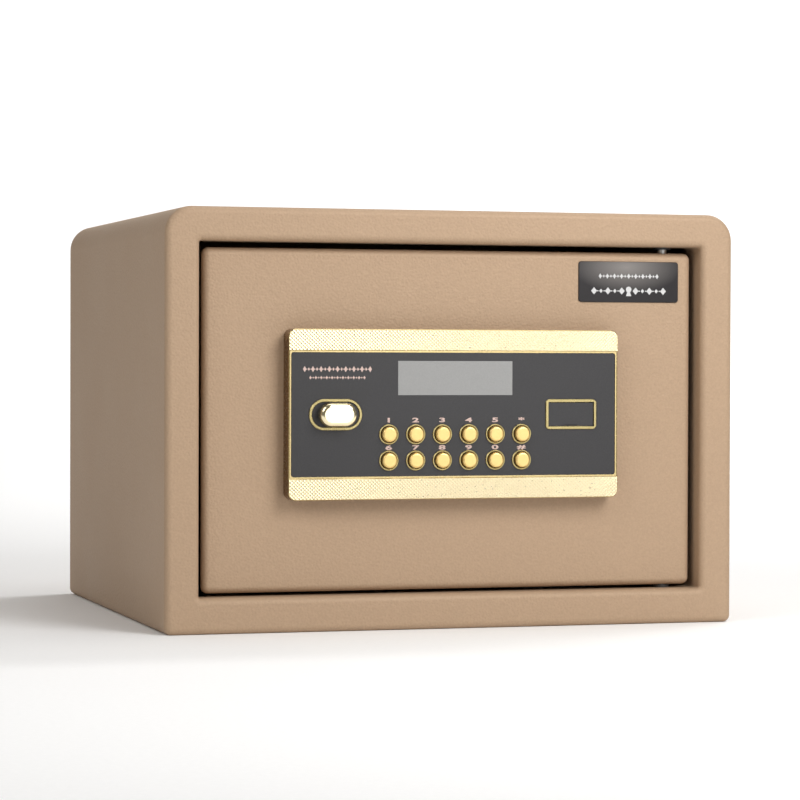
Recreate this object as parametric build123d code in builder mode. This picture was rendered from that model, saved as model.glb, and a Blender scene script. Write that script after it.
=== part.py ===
"""In-room safe: a bent steel cabinet, a recessed door on pivot pins, and its bolt work.

Millimetres. The origin is the centre of the cabinet's underside, +X is to the right,
+Y goes into the safe and +Z is up, so the door faces -Y.
"""

import math
import os

from build123d import *

# Cabinet
WIDTH = 355
DEPTH = 310
HEIGHT = 250
SHEET = 2
TOP_CORNER = 16
BASE_CORNER = 4.2
FRONT = -DEPTH / 2
BACK = DEPTH / 2
EDGE_BEND = 4
LIP_BEND = 4
ANCHOR_SPACING = 200
ANCHOR_HOLE = 10
BACK_ANCHOR_Z = 150

# Opening in the front frame, and the lip that returns from it
OPENING_WIDTH = 314
OPENING_LOW = 21.2
OPENING_HIGH = 230
OPENING_HEIGHT = OPENING_HIGH - OPENING_LOW
LIP_DEPTH = 26
LOCK_LIP_DEPTH = 14

# Door
DOOR_WIDTH = 306.8
DOOR_LOW = 23.2
DOOR_HIGH = 226.4
DOOR_HEIGHT = DOOR_HIGH - DOOR_LOW
DOOR_FRONT = FRONT + 9
DOOR_PLATE = 5
DOOR_EDGE = 4
DOOR_REAR = DOOR_FRONT + DOOR_PLATE
PIVOT_X = 137.5
PIVOT_Y = FRONT + 17.5
PIN_RADIUS = 3
BUSH_RADIUS = 4.5
BUSH_COLLAR = 5.5

# Control panel on the door
PANEL_X = -1.7
PANEL_Z = 128.35
PANEL_WIDTH = 205.8
PANEL_HEIGHT = 100.9
PANEL_CORNER = 4.5
RIM_FRONT = DOOR_FRONT - 11.6
BAND_FRONT = DOOR_FRONT - 12.4
BAND_HEIGHT = 12.8
BAND_THICKNESS = 2
FASCIA_FRONT = DOOR_FRONT - 11.2
FASCIA_THICKNESS = 2
FASCIA_WIDTH = 202.2
FASCIA_HEIGHT = 73.3
PANEL_WALL = 2
PANEL_FLOOR = FASCIA_FRONT + FASCIA_THICKNESS
TRIM_FRONT = FASCIA_FRONT - 0.9

# Keys
KEY_PITCH = 16.6
KEY_ROWS = (116.5, 101.0)
KEY_NAMES = (
    ("key_1", "key_2", "key_3", "key_4", "key_5", "key_star"),
    ("key_6", "key_7", "key_8", "key_9", "key_0", "key_hash"),
)
KEY_RADIUS = 4.6
KEY_HOLE = 5.0
KEY_RING = 6.0
KEY_RING_LINE = 0.9
KEY_FRONT = FASCIA_FRONT - 3.6
KEY_FLANGE = 5.8

# Display
DISPLAY_Z = 149.9
DISPLAY_WIDTH = 71.5
DISPLAY_HEIGHT = 20.4

# Knob, its spindle and crank; the crank pin starts 45 degrees below the knob's axis
KNOB_X = PANEL_X - 74.2
KNOB_Z = 128.3
BEZEL_LENGTH = 32.4
BEZEL_HEIGHT = 18.4
BEZEL_LINE = 1.7
KNOB_LENGTH = 22.5
KNOB_HEIGHT = 14.2
KNOB_FRONT = FASCIA_FRONT - 9
SPINDLE_RADIUS = 4
CRANK_RADIUS = 10
CRANK_SIDE = CRANK_RADIUS * math.sqrt(0.5)
CRANK_PIN_RADIUS = 2.5
CRANK_FRONT = DOOR_REAR + 1.3
CRANK_THICKNESS = 3

# Emergency lock and its cover
LOCK_X = PANEL_X + 73
LOCK_Z = 128.2
COVER_FRAME_WIDTH = 32.4
COVER_FRAME_HEIGHT = 18.1
COVER_FRAME_LINE = 1.6
FLAP_GAP = 0.3
FLAP_THICKNESS = 1.5
FLAP_AXIS_INSET = 0.8
CYLINDER_RADIUS = 7
PLUG_RADIUS = 4.5

# Bolt work behind the door plate
BOLT_Y = DOOR_REAR + 9
BOLT_RADIUS = 7
BOLT_HEIGHTS = (88, 168)
BOLT_TIP = -150
BOLT_THROW = 2 * CRANK_SIDE
CARRIAGE_THICKNESS = 3
CARRIAGE_REAR = BOLT_Y + CARRIAGE_THICKNESS / 2
CARRIAGE_LEFT = -122
BAR_LOW = 108
BAR_HIGH = 132
BAR_RIGHT = 36
POSTS = ((-109, 108), (-109, 148), (10, 120))
POST_RADIUS = 2.55
TAB_LEFT = BAR_RIGHT - 6
TAB_WIDTH = 4
TAB_HEIGHT = 6
PLUNGER_X = TAB_LEFT + TAB_WIDTH / 2 - BOLT_THROW / 2
PLUNGER_RADIUS = 3

# Inner casing on the door's back
CASE_LEFT = -144
CASE_RIGHT = 112
CASE_LOW = 42
CASE_HIGH = 208
CASE_REAR = DOOR_REAR + 35
CASE_SHEET = 1.2
CASE_SCREWS = (
    (-134, 47.5),
    (-30, 47.5),
    (104, 47.5),
    (-134, 202.5),
    (-15, 202.5),
    (104, 202.5),
)
BATTERY_X = 44
BATTERY_Z = 67
HOLDER_WIDTH = 108
HOLDER_HEIGHT = 34
CELL_RADIUS = 7.1
CELL_LENGTH = 50.2
BATTERY_LID_WIDTH = 110
BATTERY_LID_HEIGHT = 36
BOARD_X = -27
BOARD_Z = 174
BOARD_WIDTH = 70
BOARD_HEIGHT = 48
BOARD_REAR = DOOR_REAR + 16.6
RESET_X = -10
RESET_Z = 190


def upright(y):
    """The plane across the safe at depth y. Extruding from it goes towards the front."""
    return Plane.XZ.offset(-y)


def middle(low, high):
    """Halfway between two limits."""
    return (low + high) / 2


def cabinet_outline(inset):
    """The cabinet seen from the front, square at the base, drawn inset inside its outer surface."""
    box = Pos(0, HEIGHT / 2) * Rectangle(WIDTH - 2 * inset, HEIGHT - 2 * inset)
    return fillet(box.vertices().group_by(Axis.Y)[-1], TOP_CORNER - inset)


def opening_outline(grow):
    """The door opening seen from the front, grown by that much on every side."""
    return Pos(0, middle(OPENING_LOW, OPENING_HIGH)) * RectangleRounded(
        OPENING_WIDTH + 2 * grow, OPENING_HEIGHT + 2 * grow, 1.5 + grow
    )


outer_outline = cabinet_outline(0)
outer_outline = fillet(outer_outline.vertices().group_by(Axis.Y)[0], BASE_CORNER)
inner_outline = cabinet_outline(SHEET)
opening = opening_outline(0)
lip_outline = opening_outline(SHEET)

# ---------------------------------------------------------------- cabinet

with BuildPart() as cabinet_wrap:
    with BuildSketch(upright(BACK)):
        add(outer_outline)
        add(inner_outline, mode=Mode.SUBTRACT)
        with Locations((0, SHEET / 2)):
            Rectangle(WIDTH - 2 * SHEET, SHEET, mode=Mode.SUBTRACT)
    extrude(amount=DEPTH - EDGE_BEND)

with BuildPart() as base_plate:
    with BuildSketch(upright(BACK)):
        with Locations((0, SHEET / 2)):
            Rectangle(WIDTH - 2 * SHEET, SHEET)
        add(outer_outline, mode=Mode.INTERSECT)
    extrude(amount=DEPTH - EDGE_BEND)
    with BuildSketch(upright(BACK - SHEET)):
        for side in (-1, 1):
            with Locations((side * (WIDTH / 2 - 1.5 * SHEET), SHEET + 6)):
                Rectangle(SHEET, 12)
    extrude(amount=DEPTH - EDGE_BEND - SHEET)
    with BuildSketch(Plane.XY):
        with GridLocations(ANCHOR_SPACING, 1, 2, 1):
            Circle(ANCHOR_HOLE / 2)
    extrude(amount=SHEET, mode=Mode.SUBTRACT)

with BuildPart() as back_plate:
    with BuildSketch(upright(BACK)):
        add(inner_outline)
        with Locations((0, BACK_ANCHOR_Z)):
            with GridLocations(ANCHOR_SPACING, 1, 2, 1):
                Circle(ANCHOR_HOLE / 2, mode=Mode.SUBTRACT)
    extrude(amount=SHEET)

# The hollow behind the folded front frame, between its skirt and its lip
with BuildPart() as frame_channel:
    with BuildSketch(upright(FRONT + LIP_DEPTH)):
        add(inner_outline)
        add(lip_outline, mode=Mode.SUBTRACT)
    extrude(amount=LIP_DEPTH - SHEET)
    front_edges = frame_channel.faces().sort_by(Axis.Y)[0].outer_wire().edges()
    fillet(front_edges, EDGE_BEND - SHEET)

with BuildPart() as front_frame:
    with BuildSketch(upright(FRONT + LIP_DEPTH)):
        add(outer_outline)
        add(opening, mode=Mode.SUBTRACT)
    extrude(amount=LIP_DEPTH)
    front_face = front_frame.faces().sort_by(Axis.Y)[0]
    outer_edges = front_face.outer_wire().edges()
    inner_edges = front_face.inner_wires()[0].edges()
    fillet(outer_edges, EDGE_BEND)
    fillet(inner_edges, LIP_BEND)
    add(frame_channel.part, mode=Mode.SUBTRACT)
    # behind the bend the wrap takes over from the skirt
    with BuildSketch(upright(FRONT + LIP_DEPTH)):
        add(outer_outline)
        add(inner_outline, mode=Mode.SUBTRACT)
    extrude(amount=LIP_DEPTH - EDGE_BEND, mode=Mode.SUBTRACT)
    # the lip is shallower on the lock side, where the bolts pass behind it
    with BuildSketch(upright(FRONT + LIP_DEPTH)):
        with Locations((-OPENING_WIDTH / 2, middle(OPENING_LOW, OPENING_HIGH))):
            Rectangle(16, OPENING_HEIGHT + 3 * SHEET)
    extrude(amount=LIP_DEPTH - LOCK_LIP_DEPTH, mode=Mode.SUBTRACT)
    with BuildSketch(Plane.XY):
        with Locations((PIVOT_X, PIVOT_Y)):
            Circle(BUSH_RADIUS)
    extrude(amount=HEIGHT - SHEET, mode=Mode.SUBTRACT)

with BuildPart() as keeper_strip:
    with BuildSketch(upright(FRONT + LOCK_LIP_DEPTH)):
        with Locations((-OPENING_WIDTH / 2 - SHEET - 1.5, 128)):
            RectangleRounded(3, 170, 1)
    extrude(amount=LOCK_LIP_DEPTH - SHEET - 1)

with BuildPart() as hinge_bushes:
    for collar_low, collar_high, body_low in (
        (OPENING_LOW, DOOR_LOW - 0.3, OPENING_LOW - 5),
        (OPENING_HIGH - 1.2, OPENING_HIGH, OPENING_HIGH),
    ):
        with BuildSketch(Plane.XY.offset(collar_low)):
            with Locations((PIVOT_X, PIVOT_Y)):
                Circle(BUSH_COLLAR)
        extrude(amount=collar_high - collar_low)
        with BuildSketch(Plane.XY.offset(body_low)):
            with Locations((PIVOT_X, PIVOT_Y)):
                Circle(BUSH_RADIUS)
        extrude(amount=5)
    with BuildSketch(Plane.XY):
        with Locations((PIVOT_X, PIVOT_Y)):
            Circle(PIN_RADIUS + 0.08)
    extrude(amount=HEIGHT - SHEET, mode=Mode.SUBTRACT)

with BuildPart() as floor_mat:
    with BuildSketch(Plane.XY.offset(SHEET)):
        with Locations((0, 12)):
            RectangleRounded(344, 278, 4)
        with GridLocations(ANCHOR_SPACING, 1, 2, 1):
            Circle(12, mode=Mode.SUBTRACT)
    extrude(amount=3)

# ---------------------------------------------------------------- door

PANEL_SCREWS = [
    (PANEL_X + side * 92, PANEL_Z + level * 38) for side in (-1, 1) for level in (-1, 1)
]

with BuildPart() as door_plate:
    with BuildSketch(upright(DOOR_REAR)):
        with Locations((0, middle(DOOR_LOW, DOOR_HIGH))):
            RectangleRounded(DOOR_WIDTH, DOOR_HEIGHT, DOOR_EDGE + 0.1)
    extrude(amount=DOOR_PLATE)
    fillet(door_plate.faces().sort_by(Axis.Y)[0].outer_wire().edges(), DOOR_EDGE)
    with BuildSketch(upright(DOOR_REAR)):
        with Locations((KNOB_X, KNOB_Z)):
            Circle(6)
        with Locations((LOCK_X, LOCK_Z)):
            Circle(CYLINDER_RADIUS)
        with Locations((-30, 156)):
            Rectangle(34, 9)
        with Locations(*PANEL_SCREWS):
            Circle(2)
    extrude(amount=DOOR_PLATE, mode=Mode.SUBTRACT)

with BuildPart() as hinge_blocks:
    with BuildSketch(upright(DOOR_REAR + 12)):
        for low, high in ((DOOR_LOW + 0.3, 52), (198, DOOR_HIGH - 0.3)):
            with Locations((PIVOT_X, middle(low, high))):
                Rectangle(18, high - low)
    extrude(amount=12)
    fillet(hinge_blocks.edges().filter_by(Axis.Z).group_by(Axis.Y)[-1], 3)
    with BuildSketch(Plane.XY):
        with Locations((PIVOT_X, PIVOT_Y)):
            Circle(PIN_RADIUS)
    extrude(amount=46, mode=Mode.SUBTRACT)
    with BuildSketch(Plane.XY.offset(204)):
        with Locations((PIVOT_X, PIVOT_Y)):
            Circle(PIN_RADIUS)
    extrude(amount=40, mode=Mode.SUBTRACT)

with BuildPart() as hinge_pins:
    for low, high in ((OPENING_LOW - 6.5, 46), (204, OPENING_HIGH + 6.5)):
        with BuildSketch(Plane.XY.offset(low)):
            with Locations((PIVOT_X, PIVOT_Y)):
                Circle(PIN_RADIUS)
        extrude(amount=high - low)
    chamfer(hinge_pins.edges().group_by(Axis.Z)[0], 0.8)
    chamfer(hinge_pins.edges().group_by(Axis.Z)[-1], 0.8)

with BuildPart() as nameplate:
    with BuildSketch(upright(DOOR_FRONT)):
        with Locations((112.3, 208.5)):
            RectangleRounded(64.8, 24.8, 1.8)
    extrude(amount=0.8)
    chamfer(nameplate.faces().sort_by(Axis.Y)[0].outer_wire().edges(), 0.25)

# ---------------------------------------------------------------- control panel


def key_places():
    """The twelve key centres, with their names, row by row from the top left."""
    places = []
    for row, names in enumerate(KEY_NAMES):
        for column, name in enumerate(names):
            x = PANEL_X + (column - 2.5) * KEY_PITCH
            places.append((name, x, KEY_ROWS[row]))
    return places


KEY_CENTRES = [(x, z) for name, x, z in key_places()]
FLAP_WIDTH = COVER_FRAME_WIDTH - 2 * COVER_FRAME_LINE
FLAP_HEIGHT = COVER_FRAME_HEIGHT - 2 * COVER_FRAME_LINE
FLAP_TOP = LOCK_Z + FLAP_HEIGHT / 2 - FLAP_GAP
FLAP_AXIS_Z = FLAP_TOP - FLAP_AXIS_INSET
FLAP_AXIS_Y = FASCIA_FRONT + FLAP_AXIS_INSET

with BuildPart() as panel_housing:
    with BuildSketch(upright(DOOR_FRONT)):
        with Locations((PANEL_X, PANEL_Z)):
            RectangleRounded(PANEL_WIDTH, PANEL_HEIGHT, PANEL_CORNER)
    extrude(amount=DOOR_FRONT - RIM_FRONT)
    fillet(panel_housing.faces().sort_by(Axis.Y)[0].outer_wire().edges(), 0.8)
    # ledges for the two knurled bands
    with BuildSketch(upright(BAND_FRONT + BAND_THICKNESS)):
        for level in (-1, 1):
            with Locations((PANEL_X, PANEL_Z + level * (PANEL_HEIGHT - BAND_HEIGHT) / 2)):
                Rectangle(PANEL_WIDTH, BAND_HEIGHT)
    extrude(amount=6, mode=Mode.SUBTRACT)
    # pocket for the fascia
    with BuildSketch(upright(PANEL_FLOOR)):
        with Locations((PANEL_X, PANEL_Z)):
            RectangleRounded(FASCIA_WIDTH + 0.4, FASCIA_HEIGHT + 0.4, 1.7)
    extrude(amount=6, mode=Mode.SUBTRACT)
    # hollow back
    with BuildSketch(upright(DOOR_FRONT)):
        with Locations((PANEL_X, PANEL_Z)):
            RectangleRounded(PANEL_WIDTH - 5, PANEL_HEIGHT - 5, 2.5)
    extrude(amount=DOOR_FRONT - PANEL_FLOOR - PANEL_WALL, mode=Mode.SUBTRACT)
    # screw bosses and the box round the emergency lock
    with BuildSketch(upright(DOOR_FRONT)):
        with Locations(*PANEL_SCREWS):
            Circle(4)
    extrude(amount=DOOR_FRONT - PANEL_FLOOR - PANEL_WALL)
    with BuildSketch(upright(DOOR_FRONT)):
        with Locations(*PANEL_SCREWS):
            Circle(2)
    extrude(amount=5, mode=Mode.SUBTRACT)
    with BuildSketch(upright(PANEL_FLOOR + 5)):
        with Locations((LOCK_X, LOCK_Z)):
            Rectangle(FLAP_WIDTH + 3, FLAP_HEIGHT + 3)
    extrude(amount=4)
    with BuildSketch(upright(PANEL_FLOOR + 3.5)):
        with Locations((LOCK_X, LOCK_Z)):
            Rectangle(FLAP_WIDTH, FLAP_HEIGHT)
    extrude(amount=6, mode=Mode.SUBTRACT)
    # openings through the floor
    with BuildSketch(upright(DOOR_FRONT)):
        with Locations((LOCK_X, LOCK_Z)):
            Circle(CYLINDER_RADIUS)
        with Locations((KNOB_X, KNOB_Z)):
            Circle(6.6)
        with Locations(*KEY_CENTRES):
            Circle(KEY_HOLE)
        with Locations((PANEL_X, DISPLAY_Z)):
            Rectangle(76.2, 24.6)
    extrude(amount=12, mode=Mode.SUBTRACT)

with BuildPart() as knurled_bands:
    with BuildSketch(upright(BAND_FRONT + BAND_THICKNESS)):
        with Locations((PANEL_X, PANEL_Z)):
            RectangleRounded(PANEL_WIDTH, PANEL_HEIGHT, PANEL_CORNER)
            Rectangle(PANEL_WIDTH, PANEL_HEIGHT - 2 * BAND_HEIGHT, mode=Mode.SUBTRACT)
    extrude(amount=BAND_THICKNESS)
    chamfer(knurled_bands.faces().group_by(Axis.Y)[0].edges(), 0.4)

with BuildPart() as fascia:
    with BuildSketch(upright(PANEL_FLOOR)):
        with Locations((PANEL_X, PANEL_Z)):
            RectangleRounded(FASCIA_WIDTH, FASCIA_HEIGHT, 1.5)
        with Locations((PANEL_X, DISPLAY_Z)):
            Rectangle(DISPLAY_WIDTH, DISPLAY_HEIGHT, mode=Mode.SUBTRACT)
        with Locations((KNOB_X, KNOB_Z)):
            Circle(6.6, mode=Mode.SUBTRACT)
        with Locations(*KEY_CENTRES):
            Circle(KEY_HOLE, mode=Mode.SUBTRACT)
        with Locations((LOCK_X, LOCK_Z)):
            Rectangle(FLAP_WIDTH, FLAP_HEIGHT, mode=Mode.SUBTRACT)
        with Locations((LOCK_X, FLAP_AXIS_Z)):
            Rectangle(FLAP_WIDTH + 2.4, 1.6, mode=Mode.SUBTRACT)
    extrude(amount=FASCIA_THICKNESS)

with BuildPart() as lcd_window:
    with BuildSketch(upright(FASCIA_FRONT + 1.5)):
        with Locations((PANEL_X, DISPLAY_Z)):
            Rectangle(DISPLAY_WIDTH - 0.1, DISPLAY_HEIGHT - 0.1)
    extrude(amount=1.5)

with BuildPart() as lcd_module:
    with BuildSketch(upright(DOOR_FRONT - 2.4)):
        with Locations((PANEL_X, DISPLAY_Z)):
            Rectangle(76, 24.4)
    extrude(amount=DOOR_FRONT - 2.4 - PANEL_FLOOR)

with BuildPart() as key_rings:
    with BuildSketch(upright(FASCIA_FRONT)):
        with Locations(*KEY_CENTRES):
            Circle(KEY_RING)
            Circle(KEY_RING - KEY_RING_LINE, mode=Mode.SUBTRACT)
    extrude(amount=FASCIA_FRONT - TRIM_FRONT)
    chamfer(key_rings.faces().group_by(Axis.Y)[0].edges(), 0.25)

with BuildPart() as keypad_mat:
    with BuildSketch(upright(DOOR_FRONT - 2.4)):
        with Locations((PANEL_X, middle(*KEY_ROWS))):
            RectangleRounded(104, 33, 3)
    extrude(amount=1.2)
    with BuildSketch(upright(DOOR_FRONT - 3.6)):
        with Locations(*KEY_CENTRES):
            Circle(4)
    extrude(amount=0.8)
    fillet(keypad_mat.faces().group_by(Axis.Y)[0].edges(), 0.4)

with BuildPart() as keypad_pcb:
    with BuildSketch(upright(DOOR_FRONT - 0.8)):
        with Locations((PANEL_X, 128)):
            Rectangle(120, 70)
    extrude(amount=1.6)

with BuildPart() as knob_bezel:
    with BuildSketch(upright(FASCIA_FRONT)):
        with Locations((KNOB_X, KNOB_Z)):
            SlotOverall(BEZEL_LENGTH, BEZEL_HEIGHT)
            SlotOverall(
                BEZEL_LENGTH - 2 * BEZEL_LINE,
                BEZEL_HEIGHT - 2 * BEZEL_LINE,
                mode=Mode.SUBTRACT,
            )
    extrude(amount=FASCIA_FRONT - TRIM_FRONT)
    chamfer(knob_bezel.faces().sort_by(Axis.Y)[0].edges(), 0.3)

with BuildPart() as key_cover_frame:
    with BuildSketch(upright(FASCIA_FRONT)):
        with Locations((LOCK_X, LOCK_Z)):
            RectangleRounded(COVER_FRAME_WIDTH, COVER_FRAME_HEIGHT, 2.5)
            Rectangle(FLAP_WIDTH, FLAP_HEIGHT, mode=Mode.SUBTRACT)
    extrude(amount=FASCIA_FRONT - TRIM_FRONT)
    chamfer(key_cover_frame.faces().sort_by(Axis.Y)[0].outer_wire().edges(), 0.3)

with BuildPart() as panel_screws:
    with BuildSketch(upright(DOOR_REAR + 2)):
        with Locations(*PANEL_SCREWS):
            Circle(3.8)
    extrude(amount=2)
    fillet(panel_screws.faces().group_by(Axis.Y)[-1].edges(), 0.8)
    with BuildSketch(upright(DOOR_REAR + 2)):
        with Locations(*PANEL_SCREWS):
            RegularPolygon(1.4, 6)
    extrude(amount=1.2, mode=Mode.SUBTRACT)
    with BuildSketch(upright(DOOR_REAR)):
        with Locations(*PANEL_SCREWS):
            Circle(2)
    extrude(amount=DOOR_PLATE + 4.5)

# ---------------------------------------------------------------- keys


def key_button(x, z):
    """One push button: a rounded cap and the flange that keeps it behind the panel."""
    with BuildPart() as key:
        with BuildSketch(upright(PANEL_FLOOR + PANEL_WALL + 0.2)):
            with Locations((x, z)):
                Circle(KEY_RADIUS)
        extrude(amount=PANEL_FLOOR + PANEL_WALL + 0.2 - KEY_FRONT)
        fillet(key.faces().sort_by(Axis.Y)[0].edges(), 1.3)
        with BuildSketch(upright(PANEL_FLOOR + PANEL_WALL + 1.2)):
            with Locations((x, z)):
                Circle(KEY_FLANGE)
        extrude(amount=1)
    return key.part


keys = {name: key_button(x, z) for name, x, z in key_places()}

# ---------------------------------------------------------------- knob and crank

with BuildPart() as knob:
    with BuildSketch(upright(TRIM_FRONT - 0.5)):
        with Locations((KNOB_X, KNOB_Z)):
            SlotOverall(KNOB_LENGTH, KNOB_HEIGHT)
    extrude(amount=TRIM_FRONT - 0.5 - KNOB_FRONT)
    fillet(knob.faces().sort_by(Axis.Y)[0].edges(), 2.6)
    fillet(knob.faces().sort_by(Axis.Y)[-1].edges(), 0.6)
    with BuildSketch(upright(FASCIA_FRONT - 0.3)):
        with Locations((KNOB_X, KNOB_Z)):
            Circle(6.4)
    extrude(amount=1.5)
    with BuildSketch(upright(FASCIA_FRONT)):
        with Locations((KNOB_X, KNOB_Z)):
            Circle(SPINDLE_RADIUS)
    extrude(amount=6.5, mode=Mode.SUBTRACT)

CRANK_PIN_X = KNOB_X + CRANK_SIDE
CRANK_PIN_Z = KNOB_Z - CRANK_SIDE

with BuildPart() as knob_spindle:
    with BuildSketch(upright(CRANK_FRONT + CRANK_THICKNESS)):
        with Locations((KNOB_X, KNOB_Z)):
            Circle(SPINDLE_RADIUS)
    extrude(amount=CRANK_FRONT + CRANK_THICKNESS - FASCIA_FRONT + 6.5)
    with BuildSketch(upright(CRANK_FRONT + CRANK_THICKNESS)):
        with Locations((middle(KNOB_X, CRANK_PIN_X), middle(KNOB_Z, CRANK_PIN_Z))):
            SlotCenterToCenter(CRANK_RADIUS, 12, rotation=-45)
    extrude(amount=CRANK_THICKNESS)
    with BuildSketch(upright(CARRIAGE_REAR + 1)):
        with Locations((CRANK_PIN_X, CRANK_PIN_Z)):
            Circle(CRANK_PIN_RADIUS)
    extrude(amount=CARRIAGE_REAR + 1 - CRANK_FRONT - CRANK_THICKNESS)

with BuildPart() as spindle_bush:
    with BuildSketch(upright(DOOR_REAR + 0.8)):
        with Locations((KNOB_X, KNOB_Z)):
            Circle(8)
    extrude(amount=0.8)
    with BuildSketch(upright(DOOR_REAR)):
        with Locations((KNOB_X, KNOB_Z)):
            Circle(6)
    extrude(amount=DOOR_PLATE)
    with BuildSketch(upright(DOOR_REAR + 0.8)):
        with Locations((KNOB_X, KNOB_Z)):
            Circle(SPINDLE_RADIUS + 0.06)
    extrude(amount=DOOR_PLATE + 0.8, mode=Mode.SUBTRACT)

# ---------------------------------------------------------------- emergency lock

with BuildPart() as key_cover:
    with BuildSketch(upright(FASCIA_FRONT + FLAP_THICKNESS)):
        with Locations((LOCK_X, LOCK_Z)):
            Rectangle(FLAP_WIDTH - 2 * FLAP_GAP, FLAP_HEIGHT - 2 * FLAP_GAP)
    extrude(amount=FLAP_THICKNESS)
    fillet(key_cover.edges().filter_by(Axis.X).group_by(Axis.Z)[-1], 0.6)
    with BuildSketch(Plane.YZ.offset(LOCK_X - FLAP_WIDTH / 2 - 1)):
        with Locations((FLAP_AXIS_Y, FLAP_AXIS_Z)):
            Circle(0.55)
    extrude(amount=FLAP_WIDTH + 2)
    # a nail notch at the lower edge
    with BuildSketch(upright(FASCIA_FRONT + 0.7)):
        with Locations((LOCK_X, LOCK_Z - FLAP_HEIGHT / 2)):
            SlotOverall(9, 2.4)
    extrude(amount=2, mode=Mode.SUBTRACT)

with BuildPart() as lock_cylinder:
    with BuildSketch(upright(DOOR_REAR + 6.5)):
        with Locations((LOCK_X, LOCK_Z)):
            Circle(CYLINDER_RADIUS)
            Circle(PLUG_RADIUS + 0.05, mode=Mode.SUBTRACT)
    extrude(amount=DOOR_REAR + 6.5 - PANEL_FLOOR - 1.8)

with BuildPart() as lock_nut:
    with BuildSketch(upright(DOOR_REAR + 4)):
        with Locations((LOCK_X, LOCK_Z)):
            RegularPolygon(11, 6)
            Circle(CYLINDER_RADIUS, mode=Mode.SUBTRACT)
    extrude(amount=4)

CAM_FRONT = DOOR_REAR + 7.3
CAM_THICKNESS = 2.5
with BuildPart() as lock_plug:
    with BuildSketch(upright(DOOR_REAR + 6.8)):
        with Locations((LOCK_X, LOCK_Z)):
            Circle(PLUG_RADIUS)
    extrude(amount=DOOR_REAR + 6.8 - PANEL_FLOOR - 1.8)
    with BuildSketch(upright(CAM_FRONT + CAM_THICKNESS + 0.5)):
        with Locations((LOCK_X, LOCK_Z)):
            Circle(3)
    extrude(amount=CAM_THICKNESS + 1)
    with BuildSketch(upright(PANEL_FLOOR + 9)):
        with Locations((LOCK_X, LOCK_Z)):
            Rectangle(1.6, 6.6)
    extrude(amount=10, mode=Mode.SUBTRACT)

with BuildPart() as lock_cam:
    with BuildSketch(upright(CAM_FRONT + CAM_THICKNESS)):
        with Locations((LOCK_X, LOCK_Z)):
            Circle(7)
        with Locations((LOCK_X, LOCK_Z - 12)):
            RectangleRounded(9, 28, 3)
        with Locations((LOCK_X, LOCK_Z)):
            Circle(3, mode=Mode.SUBTRACT)
    extrude(amount=CAM_THICKNESS)

# ---------------------------------------------------------------- bolt work

with BuildPart() as bolt_guide:
    with BuildSketch(upright(DOOR_REAR + 32)):
        with Locations((-138.5, 128)):
            Rectangle(3, 118)
    extrude(amount=32)
    with BuildSketch(Plane.YZ.offset(-141)):
        for z in BOLT_HEIGHTS:
            with Locations((BOLT_Y, z)):
                Circle(BOLT_RADIUS + 0.08)
    extrude(amount=5, mode=Mode.SUBTRACT)

with BuildPart() as bolt_carriage:
    with BuildSketch(upright(CARRIAGE_REAR)):
        with Locations((CARRIAGE_LEFT + 18.5, 128)):
            Rectangle(37, 100)
        with Locations((middle(CARRIAGE_LEFT, BAR_RIGHT), middle(BAR_LOW, BAR_HIGH))):
            Rectangle(BAR_RIGHT - CARRIAGE_LEFT, BAR_HIGH - BAR_LOW)
        with Locations((TAB_LEFT + TAB_WIDTH / 2, BAR_HIGH + TAB_HEIGHT / 2 - 1)):
            Rectangle(TAB_WIDTH, TAB_HEIGHT + 2)
        for z in BOLT_HEIGHTS:
            with Locations((CARRIAGE_LEFT + 6.5, z)):
                Rectangle(13, 15, mode=Mode.SUBTRACT)
        for x, z in POSTS:
            with Locations((x + BOLT_THROW / 2, z)):
                SlotOverall(
                    BOLT_THROW + 2 * POST_RADIUS + 1, 2 * POST_RADIUS + 0.3, mode=Mode.SUBTRACT
                )
        with Locations((CRANK_PIN_X, 120)):
            SlotOverall(9.4, 2 * CRANK_PIN_RADIUS + 0.9, rotation=90, mode=Mode.SUBTRACT)
    extrude(amount=CARRIAGE_THICKNESS)
    with BuildSketch(Plane.YZ.offset(CARRIAGE_LEFT)):
        with Locations((BOLT_Y, 128)):
            Rectangle(15, 100)
        for z in BOLT_HEIGHTS:
            with Locations((BOLT_Y, z)):
                Circle(4, mode=Mode.SUBTRACT)
    extrude(amount=3)

with BuildPart() as bolts:
    for z in BOLT_HEIGHTS:
        with BuildSketch(Plane.YZ.offset(BOLT_TIP)):
            with Locations((BOLT_Y, z)):
                Circle(BOLT_RADIUS)
        extrude(amount=CARRIAGE_LEFT - BOLT_TIP)
    chamfer(bolts.edges().group_by(Axis.X)[0], 1.2)
    for z in BOLT_HEIGHTS:
        with BuildSketch(Plane.YZ.offset(CARRIAGE_LEFT)):
            with Locations((BOLT_Y, z)):
                Circle(4)
        extrude(amount=3)
        with BuildSketch(Plane.YZ.offset(CARRIAGE_LEFT + 3)):
            with Locations((BOLT_Y, z)):
                Circle(5.5)
        extrude(amount=2.5)

with BuildPart() as carriage_posts:
    with BuildSketch(upright(CARRIAGE_REAR - CARRIAGE_THICKNESS - 0.3)):
        with Locations(*POSTS):
            Circle(4.5)
    extrude(amount=CARRIAGE_REAR - CARRIAGE_THICKNESS - 0.3 - DOOR_REAR)
    with BuildSketch(upright(CARRIAGE_REAR + 0.3)):
        with Locations(*POSTS):
            Circle(POST_RADIUS)
    extrude(amount=CARRIAGE_THICKNESS + 0.6)
    with BuildSketch(upright(CARRIAGE_REAR + 0.3)):
        with Locations(*POSTS):
            Circle(1.25)
    extrude(amount=8, mode=Mode.SUBTRACT)

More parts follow.
